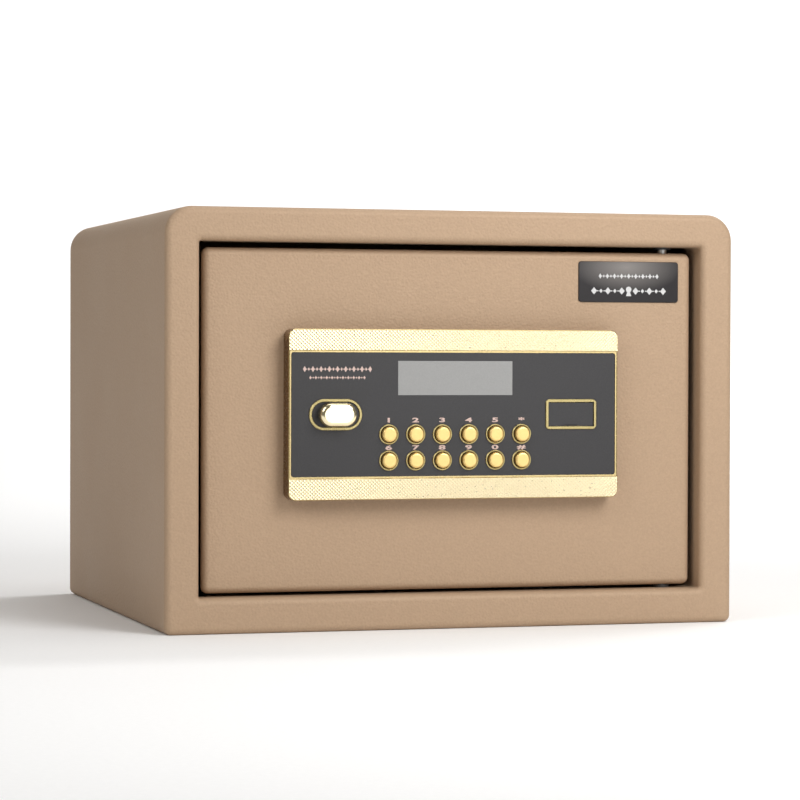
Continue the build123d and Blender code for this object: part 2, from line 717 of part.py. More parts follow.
with BuildPart() as carriage_screws:
    with BuildSketch(upright(CARRIAGE_REAR + 2.8)):
        with Locations(*POSTS):
            Circle(4.5)
    extrude(amount=2.5)
    with BuildSketch(upright(CARRIAGE_REAR + 2.8)):
        with Locations(*POSTS):
            RegularPolygon(1.6, 6)
    extrude(amount=1.4, mode=Mode.SUBTRACT)
    with BuildSketch(upright(CARRIAGE_REAR + 0.3)):
        with Locations(*POSTS):
            Circle(1.25)
    extrude(amount=7)

with BuildPart() as solenoid_body:
    with BuildSketch(upright(DOOR_REAR + 18)):
        with Locations((PLUNGER_X, 153)):
            Rectangle(24, 26)
    extrude(amount=18)
    fillet(solenoid_body.edges().filter_by(Axis.Y), 1.5)
    with BuildSketch(Plane.XY.offset(140)):
        with Locations((PLUNGER_X, BOLT_Y)):
            Circle(PLUNGER_RADIUS + 0.08)
    extrude(amount=21, mode=Mode.SUBTRACT)

with BuildPart() as solenoid_plunger:
    with BuildSketch(Plane.XY.offset(139)):
        with Locations((PLUNGER_X, BOLT_Y)):
            Circle(PLUNGER_RADIUS)
    extrude(amount=21)
    chamfer(solenoid_plunger.edges().group_by(Axis.Z)[0], 0.5)

# ---------------------------------------------------------------- electronics

with BuildPart() as main_pcb:
    with BuildSketch(upright(BOARD_REAR)):
        with Locations((BOARD_X, BOARD_Z)):
            Rectangle(BOARD_WIDTH, BOARD_HEIGHT)
    extrude(amount=1.6)
    with BuildSketch(upright(BOARD_REAR + 2)):
        with Locations((BOARD_X - 12, BOARD_Z + 8)):
            Rectangle(14, 14)
    extrude(amount=2)
    with BuildSketch(upright(BOARD_REAR + 9)):
        with Locations((BOARD_X + 26, BOARD_Z - 12)):
            Circle(4)
    extrude(amount=9)
    # the switch under the reset button
    with BuildSketch(upright(CASE_REAR - 7)):
        with Locations((RESET_X, RESET_Z)):
            Rectangle(12, 12)
    extrude(amount=CASE_REAR - 7 - BOARD_REAR)

with BuildPart() as board_header:
    with BuildSketch(upright(BOARD_REAR - 1.6)):
        with Locations((-30, 156)):
            Rectangle(30, 6)
    extrude(amount=BOARD_REAR - 1.6 - DOOR_FRONT + 0.8)

with BuildPart() as pcb_standoffs:
    with BuildSketch(upright(BOARD_REAR - 1.6)):
        with Locations((BOARD_X, BOARD_Z)):
            with GridLocations(BOARD_WIDTH - 8, BOARD_HEIGHT - 8, 2, 2):
                RegularPolygon(2.8, 6)
    extrude(amount=BOARD_REAR - 1.6 - DOOR_REAR)

HOLDER_FRONT = DOOR_REAR + 15.5
HOLDER_REAR = CASE_REAR - 1.7
with BuildPart() as battery_holder:
    with BuildSketch(upright(HOLDER_REAR)):
        with Locations((BATTERY_X, BATTERY_Z)):
            Rectangle(HOLDER_WIDTH, HOLDER_HEIGHT)
    extrude(amount=HOLDER_REAR - HOLDER_FRONT)
    with BuildSketch(upright(HOLDER_REAR)):
        with Locations((BATTERY_X, BATTERY_Z)):
            Rectangle(HOLDER_WIDTH - 2.4, HOLDER_HEIGHT - 2.4)
            Rectangle(1.2, HOLDER_HEIGHT, mode=Mode.SUBTRACT)
    extrude(amount=HOLDER_REAR - HOLDER_FRONT - 1.2, mode=Mode.SUBTRACT)

with BuildPart() as batteries:
    for side in (-1, 1):
        with BuildSketch(Plane.YZ.offset(BATTERY_X + side * 26.4 - CELL_LENGTH / 2)):
            for level in (-1, 1):
                with Locations((HOLDER_FRONT + 1.3 + CELL_RADIUS, BATTERY_Z + level * 7.6)):
                    Circle(CELL_RADIUS)
        extrude(amount=CELL_LENGTH - 1.2)
        with BuildSketch(Plane.YZ.offset(BATTERY_X + side * 26.4 + CELL_LENGTH / 2 - 1.2)):
            for level in (-1, 1):
                with Locations((HOLDER_FRONT + 1.3 + CELL_RADIUS, BATTERY_Z + level * 7.6)):
                    Circle(2.7)
        extrude(amount=1.2)

# ---------------------------------------------------------------- inner casing

LID_GAP = 0.3

with BuildPart() as lock_cover:
    with BuildSketch(upright(CASE_REAR)):
        with Locations((middle(CASE_LEFT, CASE_RIGHT), middle(CASE_LOW, CASE_HIGH))):
            RectangleRounded(CASE_RIGHT - CASE_LEFT, CASE_HIGH - CASE_LOW, 5)
    extrude(amount=CASE_REAR - DOOR_REAR)
    fillet(lock_cover.faces().sort_by(Axis.Y)[-1].outer_wire().edges(), 2)
    with BuildSketch(upright(CASE_REAR - CASE_SHEET)):
        with Locations((middle(CASE_LEFT, CASE_RIGHT), middle(CASE_LOW, CASE_HIGH))):
            RectangleRounded(
                CASE_RIGHT - CASE_LEFT - 2 * CASE_SHEET, CASE_HIGH - CASE_LOW - 2 * CASE_SHEET, 3.8
            )
    extrude(amount=CASE_REAR - CASE_SHEET - DOOR_REAR, mode=Mode.SUBTRACT)
    with BuildSketch(upright(CASE_REAR)):
        with Locations((BATTERY_X, BATTERY_Z)):
            Rectangle(BATTERY_LID_WIDTH + 2 * LID_GAP, BATTERY_LID_HEIGHT + 2 * LID_GAP)
        with Locations((RESET_X, RESET_Z)):
            Circle(3.3)
        with Locations(*CASE_SCREWS):
            Circle(1.5)
    extrude(amount=CASE_SHEET, mode=Mode.SUBTRACT)
    with BuildSketch(Plane.YZ.offset(CASE_LEFT)):
        for z in BOLT_HEIGHTS:
            with Locations((BOLT_Y, z)):
                Circle(BOLT_RADIUS + 1)
    extrude(amount=CASE_SHEET, mode=Mode.SUBTRACT)

with BuildPart() as battery_cover:
    with BuildSketch(upright(CASE_REAR)):
        with Locations((BATTERY_X, BATTERY_Z)):
            Rectangle(BATTERY_LID_WIDTH, BATTERY_LID_HEIGHT)
    extrude(amount=1.5)
    fillet(battery_cover.edges().filter_by(Axis.X).group_by(Axis.Z)[0], 0.6)
    with BuildSketch(upright(CASE_REAR)):
        with Locations((BATTERY_X, BATTERY_Z + BATTERY_LID_HEIGHT / 2 - 5)):
            SlotOverall(22, 5)
    extrude(amount=0.7, mode=Mode.SUBTRACT)

with BuildPart() as reset_button:
    with BuildSketch(upright(CASE_REAR + 1.2)):
        with Locations((RESET_X, RESET_Z)):
            Circle(3)
    extrude(amount=7)
    fillet(reset_button.faces().sort_by(Axis.Y)[-1].edges(), 0.5)

with BuildPart() as cover_standoffs:
    with BuildSketch(upright(CASE_REAR - CASE_SHEET)):
        with Locations(*CASE_SCREWS):
            RegularPolygon(3.8, 6)
    extrude(amount=CASE_REAR - CASE_SHEET - DOOR_REAR)
    with BuildSketch(upright(CASE_REAR - CASE_SHEET)):
        with Locations(*CASE_SCREWS):
            Circle(1.5)
    extrude(amount=8, mode=Mode.SUBTRACT)

with BuildPart() as cover_screws:
    with BuildSketch(upright(CASE_REAR + 2)):
        with Locations(*CASE_SCREWS):
            Circle(3.1)
    extrude(amount=2)
    fillet(cover_screws.faces().group_by(Axis.Y)[-1].edges(), 1)
    with BuildSketch(upright(CASE_REAR + 2)):
        with Locations(*CASE_SCREWS):
            Rectangle(3.2, 0.8)
            Rectangle(0.8, 3.2)
    extrude(amount=1.1, mode=Mode.SUBTRACT)
    with BuildSketch(upright(CASE_REAR)):
        with Locations(*CASE_SCREWS):
            Circle(1.5)
    extrude(amount=CASE_SHEET + 7)

# ---------------------------------------------------------------- export

built = {
    "cabinet_wrap": cabinet_wrap,
    "base_plate": base_plate,
    "back_plate": back_plate,
    "front_frame": front_frame,
    "keeper_strip": keeper_strip,
    "hinge_bushes": hinge_bushes,
    "floor_mat": floor_mat,
    "door_plate": door_plate,
    "hinge_blocks": hinge_blocks,
    "hinge_pins": hinge_pins,
    "nameplate": nameplate,
    "panel_housing": panel_housing,
    "knurled_bands": knurled_bands,
    "fascia": fascia,
    "lcd_window": lcd_window,
    "lcd_module": lcd_module,
    "key_rings": key_rings,
    "keypad_mat": keypad_mat,
    "keypad_pcb": keypad_pcb,
    "knob_bezel": knob_bezel,
    "key_cover_frame": key_cover_frame,
    "panel_screws": panel_screws,
    "knob": knob,
    "knob_spindle": knob_spindle,
    "spindle_bush": spindle_bush,
    "key_cover": key_cover,
    "lock_cylinder": lock_cylinder,
    "lock_nut": lock_nut,
    "lock_plug": lock_plug,
    "lock_cam": lock_cam,
    "bolt_guide": bolt_guide,
    "bolt_carriage": bolt_carriage,
    "bolts": bolts,
    "carriage_posts": carriage_posts,
    "carriage_screws": carriage_screws,
    "solenoid_body": solenoid_body,
    "solenoid_plunger": solenoid_plunger,
    "main_pcb": main_pcb,
    "board_header": board_header,
    "pcb_standoffs": pcb_standoffs,
    "battery_holder": battery_holder,
    "batteries": batteries,
    "lock_cover": lock_cover,
    "battery_cover": battery_cover,
    "reset_button": reset_button,
    "cover_standoffs": cover_standoffs,
    "cover_screws": cover_screws,
}

os.makedirs("parts", exist_ok=True)
solids = {name: piece.part for name, piece in built.items()}
solids.update(keys)
for name, solid in solids.items():
    solid.label = name
    export_step(solid, f"parts/{name}.step")
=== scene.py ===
import math

import bmesh
import bpy
from mathutils import Matrix, Vector


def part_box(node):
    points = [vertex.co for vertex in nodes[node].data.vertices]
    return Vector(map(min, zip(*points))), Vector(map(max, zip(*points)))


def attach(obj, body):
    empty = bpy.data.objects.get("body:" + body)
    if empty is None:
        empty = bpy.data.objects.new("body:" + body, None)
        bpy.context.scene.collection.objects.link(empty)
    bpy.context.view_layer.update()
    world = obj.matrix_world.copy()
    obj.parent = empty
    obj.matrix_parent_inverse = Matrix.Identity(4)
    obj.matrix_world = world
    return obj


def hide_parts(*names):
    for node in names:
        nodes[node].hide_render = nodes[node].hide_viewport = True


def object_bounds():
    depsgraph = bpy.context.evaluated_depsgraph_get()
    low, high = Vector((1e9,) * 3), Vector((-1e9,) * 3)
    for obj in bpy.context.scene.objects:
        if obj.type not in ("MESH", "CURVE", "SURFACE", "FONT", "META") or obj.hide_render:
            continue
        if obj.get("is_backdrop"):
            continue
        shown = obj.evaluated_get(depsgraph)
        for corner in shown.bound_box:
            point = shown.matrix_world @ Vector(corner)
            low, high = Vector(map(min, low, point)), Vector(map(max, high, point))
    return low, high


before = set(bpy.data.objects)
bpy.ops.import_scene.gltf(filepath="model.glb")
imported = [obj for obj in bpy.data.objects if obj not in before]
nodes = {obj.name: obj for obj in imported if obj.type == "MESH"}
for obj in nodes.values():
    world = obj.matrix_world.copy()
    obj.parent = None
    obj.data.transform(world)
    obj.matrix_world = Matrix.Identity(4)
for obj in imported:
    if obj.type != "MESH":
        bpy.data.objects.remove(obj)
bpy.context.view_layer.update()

MM = 0.001

# knurled strips of the panel: the knurling lies inside a plain rim, its low corners are
# just clear of the strip's face, and its side walls go a little way into the strip
BAND_HEIGHT = 12.8 * MM
BAND_RIM = 0.5 * MM
BAND_CORNER = 4 * MM
KNURL_PITCH = 2.2 * MM
KNURL_RISE = 0.25 * MM
KNURL_CLEAR = 0.02 * MM
KNURL_SINK = 0.1 * MM

# printed signs: ink thickness each side of the surface, and the size and place of the key legends
PRINT = 0.03 * MM
LEGEND_SIZE = 3.6 * MM
LEGEND_STRETCH = 2.3
UPPER_LEGEND_LIFT = 7.2 * MM
LOWER_LEGEND_LIFT = 6.4 * MM
UPPER_LEGENDS = "12345*"

MAT_EDGE = 0.8 * MM

KEY_LABELS = {
    "key_1": "1",
    "key_2": "2",
    "key_3": "3",
    "key_4": "4",
    "key_5": "5",
    "key_star": "*",
    "key_6": "6",
    "key_7": "7",
    "key_8": "8",
    "key_9": "9",
    "key_0": "0",
    "key_hash": "#",
}


# ---------------------------------------------------------------- node helpers


def material(name, color, roughness, metallic=0.0):
    """A new node material, with its shader's own sockets set to even values."""
    made = bpy.data.materials.new(name)
    made.use_nodes = True
    shader = made.node_tree.nodes["Principled BSDF"]
    shader.inputs["Base Color"].default_value = (*color, 1)
    shader.inputs["Roughness"].default_value = roughness
    shader.inputs["Metallic"].default_value = metallic
    return made, shader


def add_node(made, kind, **attributes):
    """A node of this kind, with its attributes set."""
    node = made.node_tree.nodes.new(kind)
    for name, value in attributes.items():
        setattr(node, name, value)
    return node


def link(made, source, target):
    """Joins an output to an input."""
    made.node_tree.links.new(source, target)


def place_of(made):
    """The point of the surface in the object's own coordinates, in metres."""
    return add_node(made, "ShaderNodeTexCoord").outputs["Object"]


def noise(made, where, scale, detail=2.0, roughness=0.5):
    """A noise texture's grey value; scale is in features per metre."""
    node = add_node(made, "ShaderNodeTexNoise")
    node.inputs["Scale"].default_value = scale
    node.inputs["Detail"].default_value = detail
    node.inputs["Roughness"].default_value = roughness
    link(made, where, node.inputs["Vector"])
    return node.outputs["Fac"]


def spread(made, value, low, high, start=0.3, stop=0.7):
    """A grey value mapped to the range from low to high."""
    node = add_node(made, "ShaderNodeMapRange")
    node.inputs["From Min"].default_value = start
    node.inputs["From Max"].default_value = stop
    node.inputs["To Min"].default_value = low
    node.inputs["To Max"].default_value = high
    link(made, value, node.inputs["Value"])
    return node.outputs["Result"]


def tint(made, value, dark, light):
    """A colour between two, chosen by a grey value."""
    node = add_node(made, "ShaderNodeValToRGB")
    node.color_ramp.elements[0].position = 0.3
    node.color_ramp.elements[0].color = (*dark, 1)
    node.color_ramp.elements[1].position = 0.7
    node.color_ramp.elements[1].color = (*light, 1)
    link(made, value, node.inputs["Fac"])
    return node.outputs["Color"]


def emboss(made, shader, height, depth, strength=1.0, under=None):
    """Bump from a height value, that deep in metres. Under is a bump that it lies on."""
    node = add_node(made, "ShaderNodeBump")
    node.inputs["Strength"].default_value = strength
    node.inputs["Distance"].default_value = depth
    link(made, height, node.inputs["Height"])
    if under is not None:
        link(made, under, node.inputs["Normal"])
    link(made, node.outputs["Normal"], shader.inputs["Normal"])
    return node.outputs["Normal"]


def shade(color, factor):
    """The same colour, made lighter or darker."""
    return tuple(min(1.0, channel * factor) for channel in color)


# ---------------------------------------------------------------- materials


def edge_mask(made, radius):
    """1 on the object's edges, falling to 0 that far from them."""
    rounded = add_node(made, "ShaderNodeBevel", samples=4)
    rounded.inputs["Radius"].default_value = radius
    flat = add_node(made, "ShaderNodeNewGeometry")
    dot = add_node(made, "ShaderNodeVectorMath", operation="DOT_PRODUCT")
    link(made, rounded.outputs["Normal"], dot.inputs[0])
    link(made, flat.outputs["Normal"], dot.inputs[1])
    return spread(made, dot.outputs["Value"], 1.0, 0.0, 0.8, 0.995)


def mixed(made, amount, under, over):
    """One colour output laid over another, by a grey amount."""
    node = add_node(made, "ShaderNodeMix", data_type="RGBA")
    link(made, amount, node.inputs["Factor"])
    link(made, under, node.inputs["A"])
    node.inputs["B"].default_value = (*over, 1)
    return node.outputs["Result"]


def powder_coat(name, color):
    """Champagne powder coat: satin, with a hammered grain, and rubbed paler along the edges."""
    made, shader = material(name, color, 0.5, 0.1)
    shader.inputs["Specular IOR Level"].default_value = 0.2
    where = place_of(made)
    grain = tint(made, noise(made, where, 900, 2.0), shade(color, 0.955), shade(color, 1.045))
    wear = spread(made, edge_mask(made, 0.0012), 0.0, 0.35, 0.0, 1.0)
    link(made, mixed(made, wear, grain, shade(color, 1.35)), shader.inputs["Base Color"])
    link(made, spread(made, noise(made, where, 14, 3.0), 0.5, 0.55), shader.inputs["Roughness"])
    cells = add_node(made, "ShaderNodeTexVoronoi", feature="SMOOTH_F1")
    cells.inputs["Scale"].default_value = 680
    cells.inputs["Smoothness"].default_value = 0.8
    link(made, where, cells.inputs["Vector"])
    under = emboss(made, shader, cells.outputs["Distance"], 0.0003, 0.65)
    emboss(made, shader, noise(made, where, 2400, 1.0), 0.00006, 0.5, under)
    return made


def plating(name, color, roughness):
    """Plated metal with faint polishing marks."""
    made, shader = material(name, color, roughness, 1.0)
    where = place_of(made)
    marks = noise(made, where, 700, 3.0)
    link(made, spread(made, marks, roughness * 0.8, roughness * 1.25), shader.inputs["Roughness"])
    emboss(made, shader, noise(made, where, 300, 2.0), 0.00002, 0.4)
    return made


def plating_with_painted_wall_shade(name, face, shaded_wall, roughness):
    """Gold plating with painted shade: faces turned to the front keep the plating's colour, and
    the walls round them are painted a dark bronze in place of the dark surroundings they would
    reflect.
    """
    made = plating(name, face, roughness)
    shader = made.node_tree.nodes["Principled BSDF"]
    axis = add_node(made, "ShaderNodeSeparateXYZ")
    link(made, add_node(made, "ShaderNodeTexCoord").outputs["Normal"], axis.inputs["Vector"])
    wear = noise(made, place_of(made), 260, 3.0)
    front = tint(made, wear, shade(face, 0.96), shade(face, 1.02))
    # painted shade: faces that turn away from the front get the dark wall colour
    wall_shade_amount = spread(made, axis.outputs["Y"], 0.0, 1.0, -0.75, -0.25)
    link(made, mixed(made, wall_shade_amount, front, shaded_wall), shader.inputs["Base Color"])
    return made


def plate_with_painted_sheen(name, dark, light, centre, sheen_reach):
    """A dark satin plate with a painted sheen: a pale highlight painted into its colour, fading
    out round one point.
    """
    made, shader = material(name, dark, 0.3, 0.6)
    widening = 0.45
    distance = add_node(made, "ShaderNodeVectorMath", operation="DISTANCE")
    mapping = add_node(made, "ShaderNodeMapping")
    mapping.inputs["Scale"].default_value = (widening, 1, 1)
    link(made, place_of(made), mapping.inputs["Vector"])
    link(made, mapping.outputs["Vector"], distance.inputs[0])
    distance.inputs[1].default_value = (centre[0] * widening, centre[1], centre[2])
    # painted highlight: the pale colour is painted round the centre point and fades out over the
    # reach
    painted_sheen = spread(made, distance.outputs["Value"], 1.0, 0.0, 0.0, sheen_reach)
    lines = add_node(made, "ShaderNodeMapping")
    lines.inputs["Rotation"].default_value = (0, math.radians(35), 0)
    lines.inputs["Scale"].default_value = (2500, 1, 150)
    link(made, place_of(made), lines.inputs["Vector"])
    brush = noise(made, lines.outputs["Vector"], 1, 3.0)
    ground = tint(made, brush, dark, shade(dark, 1.15))
    link(made, mixed(made, painted_sheen, ground, light), shader.inputs["Base Color"])
    link(made, spread(made, brush, 0.29, 0.33), shader.inputs["Roughness"])
    return made


def brushed(name, color, roughness, stretch):
    """Metal with a grain drawn out along one axis."""
    made, shader = material(name, color, roughness, 1.0)
    where = place_of(made)
    mapping = add_node(made, "ShaderNodeMapping")
    mapping.inputs["Scale"].default_value = stretch
    link(made, where, mapping.inputs["Vector"])
    grain = noise(made, mapping.outputs["Vector"], 60, 4.0, 0.6)
    streaks = tint(made, grain, shade(color, 0.9), shade(color, 1.05))
    link(made, streaks, shader.inputs["Base Color"])
    link(made, spread(made, grain, roughness * 0.8, roughness * 1.3), shader.inputs["Roughness"])
    emboss(made, shader, grain, 0.00004, 0.3)
    return made


def felt_cloth(name, color):
    """Needle felt: matted fibres, with paler lint."""
    made, shader = material(name, color, 0.95)
    shader.inputs["Sheen Weight"].default_value = 0.4
    where = place_of(made)
    fibres = noise(made, where, 1400, 4.0, 0.7)
    mottle = tint(made, noise(made, where, 160, 4.0), shade(color, 0.7), shade(color, 1.3))
    lint = spread(made, fibres, 0.0, 0.5, 0.55, 0.75)
    link(made, mixed(made, lint, mottle, shade(color, 2.6)), shader.inputs["Base Color"])
    emboss(made, shader, fibres, 0.0005, 0.8)
    return made


def printed_sleeve(name, color, band):
    """The sleeves of the cells: a plain colour, with a band of another across each cell."""
    half_pitch = 26.4 * MM
    band_start = 18.0 * MM
    blur = 0.2 * MM
    made, shader = material(name, color, 0.25)
    axis = add_node(made, "ShaderNodeSeparateXYZ")
    link(made, place_of(made), axis.inputs["Vector"])
    stripe = add_node(made, "ShaderNodeMath", operation="PINGPONG")
    stripe.inputs[1].default_value = half_pitch
    link(made, axis.outputs["X"], stripe.inputs[0])
    amount = spread(made, stripe.outputs["Value"], 0.0, 1.0, band_start, band_start + blur)
    grain = tint(made, noise(made, place_of(made), 500), shade(color, 0.9), shade(color, 1.1))
    link(made, mixed(made, amount, grain, band), shader.inputs["Base Color"])
    return made


def plastic(name, color, roughness, grain_scale, grain_depth, specular=0.5):
    """Moulded plastic with a fine spark texture."""
    made, shader = material(name, color, roughness)
    shader.inputs["Specular IOR Level"].default_value = specular
    where = place_of(made)
    grain = noise(made, where, grain_scale, 2.0)
    speckle = tint(made, grain, shade(color, 0.93), shade(color, 1.07))
    link(made, speckle, shader.inputs["Base Color"])
    link(made, spread(made, grain, roughness * 0.85, roughness * 1.2), shader.inputs["Roughness"])
    emboss(made, shader, grain, grain_depth, 0.6)
    return made


# dark bronze painted on the side walls of the gold parts as shade
WALL_SHADE_BRONZE = (0.24, 0.15, 0.06)

paint = powder_coat("powder_coat", (0.43, 0.302, 0.2))
gold = plating_with_painted_wall_shade("gold_plating", (0.68, 0.54, 0.27), WALL_SHADE_BRONZE, 0.24)
line_gold = plating_with_painted_wall_shade("gold_lines", (0.52, 0.43, 0.2), WALL_SHADE_BRONZE, 0.3)
band_gold = plating("gold_knurl", (0.94, 0.81, 0.53), 0.32)
key_gold = plating("gold_keys", (0.87, 0.64, 0.26), 0.42)
knob_gold = plating("gold_knob", (0.97, 0.86, 0.58), 0.08)
steel = brushed("zinc_plated_steel", (0.62, 0.62, 0.6), 0.35, (1, 1, 12))
chrome = plating("bright_chrome", (0.82, 0.82, 0.83), 0.08)
brass = plating("lock_brass", (0.78, 0.62, 0.33), 0.25)
fascia_gloss = plastic("fascia_gloss", (0.05, 0.049, 0.051), 0.2, 1500, 0.00001, specular=0.2)
display = plastic("display_grey", (0.29, 0.29, 0.285), 0.4, 3000, 0.000004)
black_plastic = plastic("black_plastic", (0.03, 0.03, 0.03), 0.45, 1800, 0.00005)
nylon = plastic("white_nylon", (0.78, 0.76, 0.7), 0.4, 1200, 0.00003)
red_plastic = plastic("red_plastic", (0.5, 0.02, 0.015), 0.3, 1200, 0.00002)
board = plastic("circuit_board", (0.02, 0.11, 0.04), 0.35, 900, 0.00002)
rubber = plastic("keypad_rubber", (0.06, 0.06, 0.062), 0.6, 1500, 0.00004)
felt = felt_cloth("needle_felt", (0.045, 0.042, 0.038))
cell_wrap = printed_sleeve("cell_sleeve", (0.02, 0.02, 0.025), (0.6, 0.36, 0.12))
legend = plastic("printed_legend", (0.6, 0.44, 0.39), 0.5, 900, 0.00001)
plate_print = plastic("plate_print", (0.58, 0.58, 0.58), 0.35, 900, 0.00001)

plate_low, plate_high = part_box("nameplate")
plate_x = (plate_low.x + plate_high.x) / 2
plate_z = (plate_low.z + plate_high.z) / 2
# the nameplate's dark colour, with a painted highlight near its top centre
plate_dark = plate_with_painted_sheen(
    "dark_anodised_plate",
    (0.022, 0.02, 0.021),
    (0.2, 0.185, 0.175),
    (plate_x - 1 * MM, plate_low.y, plate_z + 9 * MM),
    16 * MM,
)

FINISHES = (
    (paint, "cabinet_wrap base_plate back_plate front_frame keeper_strip door_plate"),
    (paint, "lock_cover hinge_blocks"),
    (gold, "panel_housing knurled_bands"),
    (line_gold, "key_rings knob_bezel key_cover_frame"),
    (knob_gold, "knob"),
    (fascia_gloss, "fascia key_cover"),
    (display, "lcd_window"),
    (black_plastic, "lcd_module battery_holder battery_cover board_header hinge_bushes"),
    (rubber, "keypad_mat"),
    (board, "keypad_pcb main_pcb"),
    (nylon, "spindle_bush"),
    (steel, "hinge_pins knob_spindle bolt_guide bolt_carriage carriage_posts carriage_screws"),
    (steel, "solenoid_body solenoid_plunger lock_nut lock_cam pcb_standoffs cover_standoffs"),
    (steel, "panel_screws"),
    (chrome, "bolts cover_screws"),
    (brass, "lock_cylinder lock_plug"),
    (plate_dark, "nameplate"),
    (cell_wrap, "batteries"),
    (red_plastic, "reset_button"),
    (felt, "floor_mat"),
)


def dress(node, finish):
    """Gives a CAD node this one material."""
    mesh = nodes[node].data
    mesh.materials.clear()
    mesh.materials.append(finish)


for finish, names in FINISHES:
    for name in names.split():
        dress(name, finish)
for name in KEY_LABELS:
    dress(name, key_gold)


# ---------------------------------------------------------------- pieces


def piece(name, mesh, finish, body):
    """A new object from a mesh or bmesh in the frame's own coordinates, riding on a body."""
    if isinstance(mesh, bmesh.types.BMesh):
        data = bpy.data.meshes.new(name)
        mesh.to_mesh(data)
        mesh.free()
        mesh = data
    made = bpy.data.objects.new(name, mesh)
    bpy.context.scene.collection.objects.link(made)
    mesh.materials.clear()
    mesh.materials.append(finish)
    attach(made, body)
    return made


def cut_corners(mesh, x0, x1, z_round, crown):
    """Rounds the two ends of a band: its upper corners with crown 1, its lower ones with -1."""
    for side, x_edge in ((-1, x0), (1, x1)):
        x_round = x_edge - side * BAND_CORNER
        for degrees in range(15, 90, 15):
            angle = math.radians(degrees)
            normal = Vector((side * math.cos(angle), 0, crown * math.sin(angle)))
            bmesh.ops.bisect_plane(
                mesh,
                geom=mesh.verts[:] + mesh.edges[:] + mesh.faces[:],
                plane_co=Vector((x_round, 0, z_round)) + BAND_CORNER * normal,
                plane_no=normal,
                clear_outer=True,
            )


def knurl(name, x0, x1, z0, z1, y, crown):
    """Diamond knurling between those sides, on the plane y, as a closed shell.

    Crown is 1 if the band's upper corners are rounded, and -1 if its lower ones are.
    """
    rows = round(2 * (z1 - z0) / KNURL_PITCH)
    columns = round(2 * (x1 - x0) / KNURL_PITCH)
    mesh = bmesh.new()
    grid = []
    for row in range(rows + 1):
        z = z0 + (z1 - z0) * row / rows
        line = []
        for column in range(columns + 1):
            x = x0 + (x1 - x0) * column / columns
            depth = 0.0 if (row + column) % 2 else KNURL_RISE
            line.append(mesh.verts.new((x, y - depth, z)))
        grid.append(line)
    for row in range(rows):
        for column in range(columns):
            a, b = grid[row][column], grid[row][column + 1]
            d, c = grid[row + 1][column], grid[row + 1][column + 1]
            # each square folds along the diagonal between its two low corners
            halves = ((a, b, c), (a, c, d)) if (row + column) % 2 else ((a, b, d), (b, c, d))
            for half in halves:
                mesh.faces.new(half)
    z_round = (z1 - BAND_CORNER) if crown > 0 else (z0 + BAND_CORNER)
    cut_corners(mesh, x0, x1, z_round, crown)
    walls = bmesh.ops.extrude_edge_only(mesh, edges=[e for e in mesh.edges if e.is_boundary])
    for element in walls["geom"]:
        if isinstance(element, bmesh.types.BMVert):
            element.co.y = y + KNURL_SINK
    bmesh.ops.edgeloop_fill(mesh, edges=[e for e in mesh.edges if e.is_boundary])
    bmesh.ops.recalc_face_normals(mesh, faces=mesh.faces)
    piece(name, mesh, band_gold, "door")


band_low, band_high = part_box("knurled_bands")
for name, z_low, z_high, crown in (
    ("knurl_top", band_high.z - BAND_HEIGHT + BAND_RIM, band_high.z - BAND_RIM, 1),
    ("knurl_bottom", band_low.z + BAND_RIM, band_low.z + BAND_HEIGHT - BAND_RIM, -1),
):
    knurl(
        name,
        band_low.x + BAND_RIM,
        band_high.x - BAND_RIM,
        z_low,
        z_high,
        band_low.y - KNURL_CLEAR,
        crown,
    )


def text_mesh(sign, size, x, y, z):
    """A flat printed sign in bold wide strokes that faces -Y, centred on x and standing on z."""
    curve = bpy.data.curves.new("text", "FONT")
    curve.body = sign
    curve.size = size
    curve.align_x = "CENTER"
    curve.extrude = PRINT
    curve.bevel_depth = size * 0.04
    curve.bevel_resolution = 0
    holder = bpy.data.objects.new("text", curve)
    bpy.context.scene.collection.objects.link(holder)
    bpy.context.view_layer.update()
    evaluated = holder.evaluated_get(bpy.context.evaluated_depsgraph_get())
    mesh = bpy.data.meshes.new_from_object(evaluated)
    bpy.data.objects.remove(holder)
    flat_and_wide = Matrix.Diagonal((LEGEND_STRETCH, 1.0, 0.2, 1.0))
    upright = Matrix.Rotation(math.pi / 2, 4, "X")
    mesh.transform(Matrix.Translation((x, y, z)) @ upright @ flat_and_wide)
    return mesh


def joined(meshes):
    """Several meshes as one bmesh."""
    whole = bmesh.new()
    for mesh in meshes:
        whole.from_mesh(mesh)
        bpy.data.meshes.remove(mesh)
    return whole


fascia_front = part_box("fascia")[0].y
labels = []
for node, sign in KEY_LABELS.items():
    low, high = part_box(node)
    centre = (low + high) / 2
    lift = UPPER_LEGEND_LIFT if sign in UPPER_LEGENDS else LOWER_LEGEND_LIFT
    labels.append(text_mesh(sign, LEGEND_SIZE, centre.x, fascia_front, centre.z + lift))
piece("key_legends", joined(labels), legend, "door")


def outline_print(mesh, outline, y):
    """A thin printed shape that faces -Y: its (x, z) corners run anticlockwise from the front."""
    front = [mesh.verts.new((x, y - PRINT, z)) for x, z in outline]
    back = [mesh.verts.new((x, y + PRINT, z)) for x, z in outline]
    mesh.faces.new(front)
    mesh.faces.new(back[::-1])
    for i in range(len(outline)):
        j = (i + 1) % len(outline)
        mesh.faces.new((front[j], front[i], back[i], back[j]))


def lozenge(mesh, x, y, z, width, height):
    """A printed lozenge round a centre."""
    corners = ((0, -0.5), (0.5, 0), (0, 0.5), (-0.5, 0))
    outline_print(mesh, [(x + a * width, z + b * height) for a, b in corners], y)


def bar(mesh, x0, x1, y, z, height):
    """A printed bar from x0 to x1, with z at its middle."""
    below = z - height / 2
    above = z + height / 2
    outline_print(mesh, [(x0, below), (x1, below), (x1, above), (x0, above)], y)


